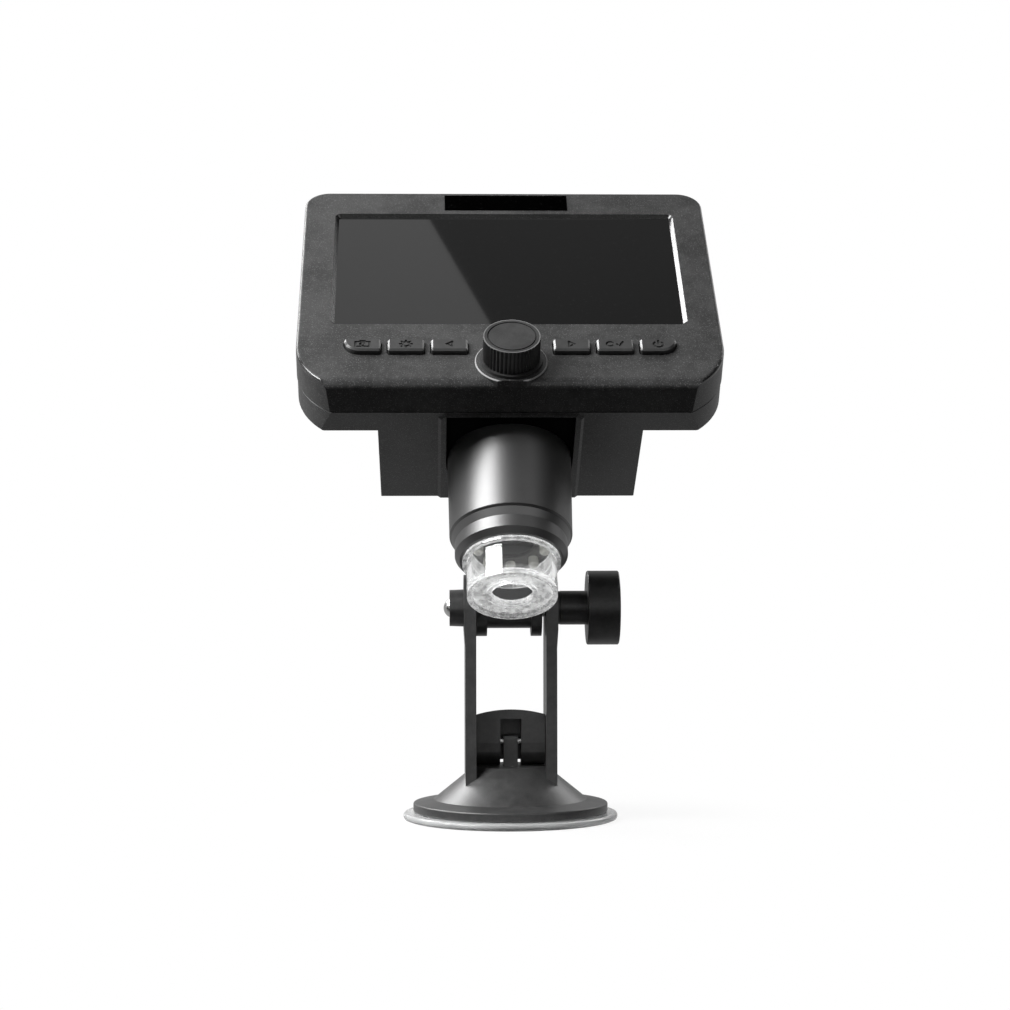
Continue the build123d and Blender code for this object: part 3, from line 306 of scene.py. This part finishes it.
clearValues = {
    "clear_plastic": {
        "colour": (0.98, 0.985, 0.985, 1), "transmission": 1.0, "roughness": 0.015, "scuffing": 0.03,
        "ripple": 5 * mm, "depth": 0.02 * mm, "ior": 1.49,
        # the haze glows a little: painted light, though no lamp is there
        "milky": {"colour": (0.95, 0.955, 0.955, 1), "transmission": 0.55, "roughness": 0.22, "paintedGlow": 0.3,
                  "inner": (10.8 * mm, 11 * mm), "floor": (3.1 * mm, 3.3 * mm), "lip": (0.3 * mm, 0.4 * mm),
                  "flange": (10.2 * mm, 10.4 * mm), "swirl": 1.6 * mm, "swirlSpan": (0.38, 0.62),
                  "swirlShare": 0.75, "share": 0.75, "wall": 0.02}},
    "clear_rubber": {
        "colour": (0.95, 0.955, 0.955, 1), "transmission": 0.6, "roughness": 0.12, "scuffing": 0.1,
        "ripple": 3 * mm, "depth": 0.05 * mm, "ior": 1.45},
    "lens_glass": {
        "colour": (0.86, 0.92, 0.98, 1), "transmission": 0.9, "roughness": 0.01, "scuffing": 0.0,
        "ripple": 20 * mm, "depth": 0.0, "ior": 1.52},
    "lamp_lens": {
        "colour": (0.95, 0.95, 0.88, 1), "transmission": 0.6, "roughness": 0.08, "scuffing": 0.05,
        "ripple": 2 * mm, "depth": 0.01 * mm, "ior": 1.5},
}


def hazeShare(finish, milky):
    # the guard tube's floor with its collar, its lip and its flange are moulded with a swirling haze
    low, high = boxIn("clear_tube", barrelFrame)
    foot = barrelFrame @ Vector(((low.x + high.x) / 2, (low.y + high.y) / 2, low.z))
    across, up, height = finish.alongAxes(barrelFrame, foot)
    inward = 1 - (across * across + up * up).farther(*milky["inner"])
    floor = inward * (1 - height.above(*milky["floor"]))
    lip = 1 - height.above(*milky["lip"])
    hazed = floor.highest(lip).highest(height.above(*milky["flange"]))
    swirl = finish.noise(milky["swirl"], detail=4, roughness=0.65).above(*milky["swirlSpan"])
    cloud = swirl * milky["swirlShare"] + (1 - milky["swirlShare"])
    return hazed * cloud * milky["share"] + milky["wall"]


def clearPlastic(name, values):
    # polished clear moulding; the surface ripples a little where it cooled
    finish = Finish(name)
    normal = finish.bump(finish.noise(values["ripple"], detail=1), values["depth"])
    scuffs = finish.noise(values["scuff"], detail=4, roughness=0.7).above(*values["scuffSpan"])
    shader = finish.principled({
        "Base Color": values["colour"], "Transmission Weight": values["transmission"], "IOR": values["ior"],
        "Roughness": values["roughness"] + scuffs * values["scuffing"], "Normal": normal})
    if "milky" in values:
        milky = values["milky"]    # its glow is painted light: it stands for the light that a haze gathers
        veil = finish.principled({
            "Base Color": milky["colour"], "Transmission Weight": milky["transmission"],
            "IOR": values["ior"], "Roughness": milky["roughness"], "Normal": normal,
            "Emission Color": grey(1), "Emission Strength": milky["paintedGlow"]})
        shader = finish.mixed(hazeShare(finish, milky), shader, veil)
    finish.sendOut(shader)
    return finish.owner


# metals, boards and gears

metalShared = {"line": 0.18 * mm, "blotch": 2.5 * mm, "depth": 0.004 * mm, "lineGloss": 0.2}

metalValues = {
    "steel": {"dark": grey(0.5), "light": (0.68, 0.68, 0.67, 1), "roughness": 0.25, "stretch": (0.1, 1, 1)},
    "brass": {"dark": (0.6, 0.42, 0.18, 1), "light": (0.78, 0.6, 0.3, 1), "roughness": 0.3,
              "stretch": (1, 1, 0.1)},
}


def turnedMetal(name, values):
    # turned metal with fine lines and a blotchy plating
    finish = Finish(name)
    stretch = finish.node("ShaderNodeMapping", None, {"Vector": finish.place(), "Scale": values["stretch"]})
    lines = finish.noise(values["line"], detail=3, place=stretch)
    blotches = finish.noise(values["blotch"], detail=3)
    finish.sendOut(finish.principled({
        "Base Color": finish.blend(blotches, values["dark"], values["light"]), "Metallic": 1.0,
        "Roughness": values["roughness"] + (lines - 0.5) * values["lineGloss"],
        "Normal": finish.bump(lines, values["depth"])}))
    return finish.owner


boardShared = {"runs": 260.0, "runWidth": 0.06, "runShare": 0.5, "mottle": 4 * mm, "roughness": 0.3,
               "mottleGloss": 0.15}

boardValues = {
    "circuit_board": {"dark": (0.008, 0.06, 0.022, 1), "light": (0.012, 0.09, 0.035, 1),
                      "run": (0.05, 0.2, 0.07, 1)},
    "lampBoardBlack": {"dark": grey(0.006), "light": grey(0.012), "run": (0.04, 0.036, 0.028, 1)},
}


def circuitBoard(name, values):
    # solder mask with copper runs showing through it
    finish = Finish(name)
    runs = finish.node("ShaderNodeTexBrick", None, {
        "Vector": finish.place(), "Scale": values["runs"], "Mortar Size": values["runWidth"],
        "Color1": grey(0), "Color2": grey(0), "Mortar": grey(1)}, output=1)
    mottle = finish.noise(values["mottle"], detail=3)
    mask = finish.blend(mottle, values["dark"], values["light"])
    finish.sendOut(finish.principled({
        "Base Color": finish.blend(runs * values["runShare"], mask, values["run"]),
        "Roughness": values["roughness"] + mottle * values["mottleGloss"]}))
    return finish.owner


nylonValues = {"dark": (0.62, 0.6, 0.54, 1), "light": (0.74, 0.72, 0.66, 1), "cloud": 5 * mm,
               "roughness": 0.38, "cloudGloss": 0.1, "scatter": 0.1, "depths": (1 * mm, 0.9 * mm, 0.8 * mm)}


def naturalNylon(name, values):
    # undyed gear plastic that light soaks into
    finish = Finish(name)
    cloud = finish.noise(values["cloud"], detail=3)
    finish.sendOut(finish.principled({
        "Base Color": finish.blend(cloud, values["dark"], values["light"]),
        "Roughness": values["roughness"] + cloud * values["cloudGloss"],
        "Subsurface Weight": values["scatter"], "Subsurface Radius": values["depths"],
        "Subsurface Scale": 1.0}))
    return finish.owner


def allFinishes():
    groups = ((mouldedPlastic, mouldShared, plasticValues), (glossPlastic, glossShared, glossValues),
              (clearPlastic, clearShared, clearValues), (turnedMetal, metalShared, metalValues),
              (circuitBoard, boardShared, boardValues), (naturalNylon, nylonValues, {"gear_plastic": {}}))
    made = {}
    for build, shared, group in groups:
        for name, values in group.items():
            made[name] = build(name, {**shared, **values})
    return made


def wearFinishes(finishes):
    # every carried-over node takes the finish of its slot, and the lamp board is black inside the nose
    for part in frame["record"]["subparts"]:
        chosen = "lampBoardBlack" if part["node"] == "lamp_board" else part["material_slot"]
        for place in nodes[part["node"]].material_slots:
            place.material = finishes[chosen]


finishes = allFinishes()
wearFinishes(finishes)
print("finishes made:", len(finishes))


def looseObject(shape, name):
    # turns a bmesh into an object at the origin
    mesh = bpy.data.meshes.new(name)
    shape.to_mesh(mesh)
    shape.free()
    made = bpy.data.objects.new(name, mesh)
    bpy.context.scene.collection.objects.link(made)
    return made


def finishedPiece(shape, name, slot, sharpFrom):
    # closes a bmesh, smooths all but its sharp edges and gives it its finish
    bmesh.ops.remove_doubles(shape, verts=shape.verts, dist=weld)
    bmesh.ops.recalc_face_normals(shape, faces=shape.faces)
    for face in shape.faces:
        face.smooth = True
    for edge in shape.edges:
        edge.smooth = edge.calc_face_angle(pi) < radians(sharpFrom)
    piece = looseObject(shape, name)
    piece.data.materials.append(finishes[slot])
    return piece


# suction disc, in millimetres: vault and shoulder are radius and height, rolled and groove run in from
# the edge and down from the skirt, and cap is radius and drop below the hub's top
discValues = {
    "segments": 128, "sharpFrom": 60, "hub": 9.5, "rise": 2.4, "hubTop": 7.6, "skirt": 1.9, "edge": 29.6,
    "vault": ((14.5, 1.62), (20, 0.66), (25, 0)), "shoulder": ((21.2, 1.9), (16, 3.3), (11.8, 5)),
    "rolled": ((0.8, 0), (0.25, 0.2), (0, 0.7)), "groove": ((1.7, 0.25), (2.6, 0)),
    "cap": ((9.3, 0.8), (8.6, 0)), "stretch": (1.9, 5.0)}


def suctionDisc(values):
    # half section spun about the stem, hollow underneath; its lip is rolled the same above and below
    edge, skirt, top = values["edge"], values["skirt"], values["hubTop"]
    under = [(0, values["rise"]), (values["hub"], values["rise"]), *values["vault"]]
    under += [(edge - inward, up) for inward, up in values["rolled"]]
    over = [(edge - inward, skirt - down) for inward, down in reversed(values["rolled"])]
    over += [(edge - inward, skirt - down) for inward, down in values["groove"]]
    over += [*values["shoulder"], *[(radius, top - down) for radius, down in values["cap"]], (0, top)]
    shape = bmesh.new()
    points = [shape.verts.new((radius * mm, 0, height * mm)) for radius, height in under + over]
    edges = [shape.edges.new(pair) for pair in zip(points, points[1:])]
    bmesh.ops.spin(shape, geom=points + edges, cent=(0, 0, 0), axis=(0, 0, 1), angle=2 * pi,
                   steps=values["segments"], use_merge=True)
    return shape


disc = finishedPiece(suctionDisc(discValues), "clearDisc", "clear_rubber", discValues["sharpFrom"])
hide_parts("suction_disc")
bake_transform(disc)
print("suction disc made")


# grooves that engrave the keys: wide above the key's top, narrow below it
markValues = {"depth": 0.4 * mm, "top": 0.8 * mm, "floor": 0.44 * mm, "ringSteps": 32, "arcSteps": 26,
              "sharpFrom": 22}


def grooveBar(shape, start, end, values):
    # straight V groove, drawn as a tapered bar that is cut away
    start, end = Vector(start) * mm, Vector(end) * mm
    run = end - start
    made = bmesh.ops.create_cube(shape, size=1)["verts"]
    for vertex in made:
        width = values["top"] if vertex.co.z > 0 else values["floor"]
        vertex.co = vertex.co * Vector((run.length + width, width, 2 * values["depth"]))
    turn = Matrix.Rotation(atan2(run.y, run.x), 4, "Z")
    middle = (start + end).to_3d() / 2
    bmesh.ops.transform(shape, matrix=Matrix.Translation(middle) @ turn, verts=made)


def grooveLine(shape, points, values):
    for start, end in zip(points, points[1:]):
        grooveBar(shape, start, end, values)


def grooveRing(shape, centre, radius, values, turned=360, first=0):
    # round V groove, or part of one
    centre = Vector((*centre, 0)) * mm
    begin = Matrix.Rotation(radians(first), 3, "Z")
    top, floor, depth = values["top"] / 2, values["floor"] / 2, values["depth"]
    corners = [(-top, depth), (top, depth), (floor, -depth), (-floor, -depth)]
    points = [shape.verts.new(begin @ Vector((radius * mm + outward, 0, up)) + centre)
              for outward, up in corners]
    section = [shape.edges.new(pair) for pair in zip(points, points[1:] + points[:1])]
    closed = turned == 360
    if not closed:
        section.append(shape.faces.new(points))
    bmesh.ops.spin(shape, geom=points + section, cent=centre, axis=(0, 0, 1), angle=radians(turned),
                   steps=values["ringSteps"] if closed else values["arcSteps"], use_merge=closed)


# the signs are drawn in millimetres about the middle of each key

cameraSign = {"left": -1.9, "right": 1.9, "low": -1.15, "high": 1.0, "finder": ((-0.6, 1.45), (0.6, 1.45)),
              "lens": (0, -0.1), "lensRadius": 0.62}


def cameraMark(shape, values):
    left, right, low, high = [cameraSign[side] for side in ("left", "right", "low", "high")]
    grooveLine(shape, ((left, low), (right, low), (right, high), (left, high), (left, low)), values)
    grooveLine(shape, cameraSign["finder"], values)
    grooveRing(shape, cameraSign["lens"], cameraSign["lensRadius"], values)


sunSign = {"radius": 0.95, "rays": 8, "rayFrom": 1.3, "rayTo": 1.6}


def sunMark(shape, values):
    grooveRing(shape, (0, 0), sunSign["radius"], values)
    for index in range(sunSign["rays"]):
        turn = index * 2 * pi / sunSign["rays"]
        grooveLine(shape, [(reach * cos(turn), reach * sin(turn))
                           for reach in (sunSign["rayFrom"], sunSign["rayTo"])], values)


arrowSign = {"reach": 0.75, "half": 1.1}


def arrowMark(side):
    # a hollow triangle: side is 1 where its tip is on the left
    reach, half = arrowSign["reach"] * side, arrowSign["half"]

    def made(shape, values):
        grooveBar(shape, (-reach, 0), (reach, half), values)
        grooveBar(shape, (-reach, 0), (reach, -half), values)
        grooveBar(shape, (reach, half), (reach, -half), values)
    return made


confirmSign = {"ring": (-1.35, 0), "radius": 0.95, "tick": ((0.5, -0.1), (1.1, -0.9), (2.1, 1.0))}


def confirmMark(shape, values):
    grooveRing(shape, confirmSign["ring"], confirmSign["radius"], values)
    grooveLine(shape, confirmSign["tick"], values)


powerSign = {"centre": (0, -0.1), "radius": 1.3, "turned": 290, "first": 125,
             "stroke": ((0, 0.3), (0, 1.5))}


def powerMark(shape, values):
    grooveRing(shape, powerSign["centre"], powerSign["radius"], values,
               powerSign["turned"], powerSign["first"])
    grooveLine(shape, powerSign["stroke"], values)


keyMarks = {"camera_key": cameraMark, "settings_key": sunMark, "left_key": arrowMark(1),
            "right_key": arrowMark(-1), "ok_key": confirmMark, "power_key": powerMark}


def cutShape(blank, tool):
    # what is left of one bmesh when another is cut out of it
    body, cutter = looseObject(blank, "blank"), looseObject(tool, "cutter")
    cut = body.modifiers.new("cut", "BOOLEAN")
    cut.object = cutter
    cut.operation = "DIFFERENCE"
    cut.solver = "EXACT"
    cut.use_self = True
    result = bpy.data.meshes.new_from_object(body.evaluated_get(bpy.context.evaluated_depsgraph_get()))
    shape = bmesh.new()
    shape.from_mesh(result)
    for spare in (body, cutter):
        bpy.data.objects.remove(spare)
    return shape


def engravedKey(node, mark, values):
    low, high = boxIn(node, faceFrame)
    centre = Vector(((low.x + high.x) / 2, (low.y + high.y) / 2, high.z))
    tool = bmesh.new()
    mark(tool, values)
    bmesh.ops.recalc_face_normals(tool, faces=tool.faces)
    bmesh.ops.transform(tool, matrix=faceFrame @ Matrix.Translation(centre), verts=tool.verts)
    blank = bmesh.new()
    blank.from_mesh(nodes[node].data)
    bmesh.ops.remove_doubles(blank, verts=blank.verts, dist=weld)
    shape = cutShape(blank, tool)
    key = finishedPiece(shape, node.replace("_key", "KeyCap"), "key_plastic", values["sharpFrom"])
    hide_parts(node)
    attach(key, node.replace("_key", "_button"))


for keyName, keyMark in keyMarks.items():
    engravedKey(keyName, keyMark, markValues)
print("keys engraved:", len(keyMarks))


# stage, lamps and camera, in metres and degrees; the lens and its sensor are in millimetres

# outputs of the Light Path node; passed counts the clear surfaces that a ray has gone through
rayOutputs = {"camera": 0, "diffuse": 2, "glossy": 3, "transmitted": 6, "passed": 13}


def rayKind(finish, kind):
    return finish.node("ShaderNodeLightPath", output=rayOutputs[kind])


def rayKinds(finish):
    # rays that see plain white, straight or through clear plastic, and rays mirrored by an outer surface
    glossy, passed = rayKind(finish, "glossy"), rayKind(finish, "passed")
    seen = rayKind(finish, "camera").highest(rayKind(finish, "transmitted")).highest(glossy * passed)
    return seen, glossy * (1 - passed)


stageValues = {"radius": 3.0, "segments": 96, "drop": 0.1 * mm, "paper": 0.85, "bounce": 0.04,
               "sheenSpan": (-0.11, 0.03), "sheen": 0.5, "clearSpan": (0.03, 0.085), "underCup": 0.9}


def paperFinish(values):
    # white to the eye, but it throws little light back up, and mirrored it glows on its far side only
    finish = Finish("floor")
    seen, mirrored = rayKinds(finish)
    towardsBack = finish.node("ShaderNodeSeparateXYZ", None, {0: finish.place()}, output=1)
    level = towardsBack.above(*values["sheenSpan"]) * values["sheen"]
    colour = finish.blend(rayKind(finish, "diffuse"), grey(values["paper"]), grey(values["bounce"]))
    paper = finish.node("ShaderNodeBsdfDiffuse", None, {"Color": colour})
    white = finish.node("ShaderNodeEmission", None, {"Color": grey(1), "Strength": 1.0})
    sheen = finish.node("ShaderNodeEmission", None, {"Color": grey(1), "Strength": level})
    away = finish.node("ShaderNodeVectorMath", {"operation": "LENGTH"}, {0: finish.place()}, output=1)
    whiteness = away.above(*values["clearSpan"]) * (1 - values["underCup"]) + values["underCup"]
    finish.sendOut(finish.mixed(mirrored, finish.mixed(seen * whiteness, paper, white), sheen))
    return finish.owner


def stageFloor(values):
    shape = bmesh.new()
    bmesh.ops.create_circle(shape, cap_ends=True, segments=values["segments"], radius=values["radius"])
    bmesh.ops.translate(shape, vec=(0, 0, -values["drop"]), verts=shape.verts)
    floor = looseObject(shape, "floor")
    floor.data.materials.append(paperFinish(values))


worldValues = {"ambient": 0.05, "back": 0.45, "backSpan": (-0.1, 0.75), "top": 0.14, "topSpan": (0.2, 0.95),
               "strip": 1.0, "stripAlong": (-0.8, -0.3), "stripUp": (0.25, 0.5)}


def studioWorld(values):
    # white behind the object, dark on the camera's side, a dim ceiling and a low bright strip in front
    world = bpy.data.worlds.new("studio")
    bpy.context.scene.world = world
    finish = Finish("studio", world)
    seen, mirrored = rayKinds(finish)
    towards = finish.node("ShaderNodeTexCoord", output=0)    # on the world, the direction looked in
    along, upwards = [finish.node("ShaderNodeSeparateXYZ", None, {0: towards}, output=axis)
                      for axis in (1, 2)]
    back = along.above(*values["backSpan"]) * values["back"]
    top = upwards.above(*values["topSpan"]) * values["top"]
    strip = (1 - along.above(*values["stripAlong"])) * (1 - upwards.above(*values["stripUp"]))
    level = back.highest(top).highest(strip * values["strip"])
    plain, studio, white = [
        finish.node("ShaderNodeBackground", None, {"Color": grey(1), "Strength": strength})
        for strength in (values["ambient"], level, 1.0)]
    finish.sendOut(finish.mixed(seen, finish.mixed(mirrored, plain, studio), white))


lampAim = (0, -0.01, 0.1)
lampValues = {
    "key": {"place": (-0.58, -0.24, 0.66), "size": (0.6, 0.28), "radiance": 19.5,
            "along": (-0.457, 0.533, -0.346)},
    "fill": {"place": (0.5, -0.5, 0.6), "size": (0.35, 0.35), "radiance": 1.4},
    "leftRim": {"place": (-0.5, 0.5, 0.62), "size": (0.34, 0.26), "radiance": 15.0},
    "rightRim": {"place": (0.5, 0.5, 0.5), "size": (0.34, 0.26), "radiance": 3.5},
    "leftSide": {"place": (-0.85, 0.1, 0.3), "size": (0.3, 0.4), "radiance": 0.8},
}


def areaLamp(name, size, radiance):
    # a glowing card that the camera doesn't see
    light = bpy.data.lights.new(name, "AREA")
    light.shape = "RECTANGLE"
    light.size, light.size_y = size
    light.energy = radiance * pi * light.size * light.size_y
    lamp = bpy.data.objects.new(name, light)
    lamp.visible_camera = False
    bpy.context.scene.collection.objects.link(lamp)
    return lamp


def softbox(name, values):
    # faces the object; its first side lies along the given direction, or level
    lamp = areaLamp(name, values["size"], values["radiance"])
    lamp.location = values["place"]
    back = (Vector(values["place"]) - Vector(lampAim)).normalized()
    along = Vector(values["along"]) if "along" in values else Vector((0, 0, 1)).cross(back)
    along = (along - back * along.dot(back)).normalized()
    lamp.rotation_euler = Matrix((along, back.cross(along), back)).transposed().to_euler()


cardValues = {"height": 0.8, "edgeBack": (-0.0222, 0.2471), "edgeFront": (0.0114, 0.1866),
              "size": (0.4, 0.7), "radiance": 0.66}


def overheadCard(values):
    # lies level; its right edge, mirrored, draws the slanting line in the window
    back, front = Vector(values["edgeBack"]), Vector(values["edgeFront"])
    along = (front - back).normalized()
    left = Vector((-along.y, along.x))
    if left.x > 0:
        left = -left
    middle = (back + front) / 2 + left * values["size"][0] / 2
    lamp = areaLamp("card", values["size"], values["radiance"])
    lamp.location = (middle.x, middle.y, values["height"])
    lamp.rotation_euler = (0, 0, atan2(-left.y, -left.x))


cameraValues = {"place": (-0.02342, -0.6896, 0.08676), "yaw": -1.83, "roll": -0.09, "lens": 88.72,
                "sensor": 36, "nearest": 0.01}


def frontCamera(values):
    # level, a little left of the object and turned towards it
    camera = bpy.data.cameras.new("camera")
    camera.lens = values["lens"]
    camera.sensor_width = values["sensor"]
    camera.clip_start = values["nearest"]
    eye = bpy.data.objects.new("camera", camera)
    turn = Matrix.Rotation(radians(values["yaw"]), 4, "Z") @ Matrix.Rotation(radians(90), 4, "X")
    roll = Matrix.Rotation(radians(values["roll"]), 4, "Z")
    eye.matrix_world = Matrix.Translation(values["place"]) @ turn @ roll
    bpy.context.scene.collection.objects.link(eye)
    bpy.context.scene.camera = eye


stageFloor(stageValues)
studioWorld(worldValues)
for lampName, lampSettings in lampValues.items():
    softbox(lampName, lampSettings)
overheadCard(cardValues)
frontCamera(cameraValues)
bpy.context.scene.view_settings.view_transform = "Standard"
print("stage, lamps and camera ready")
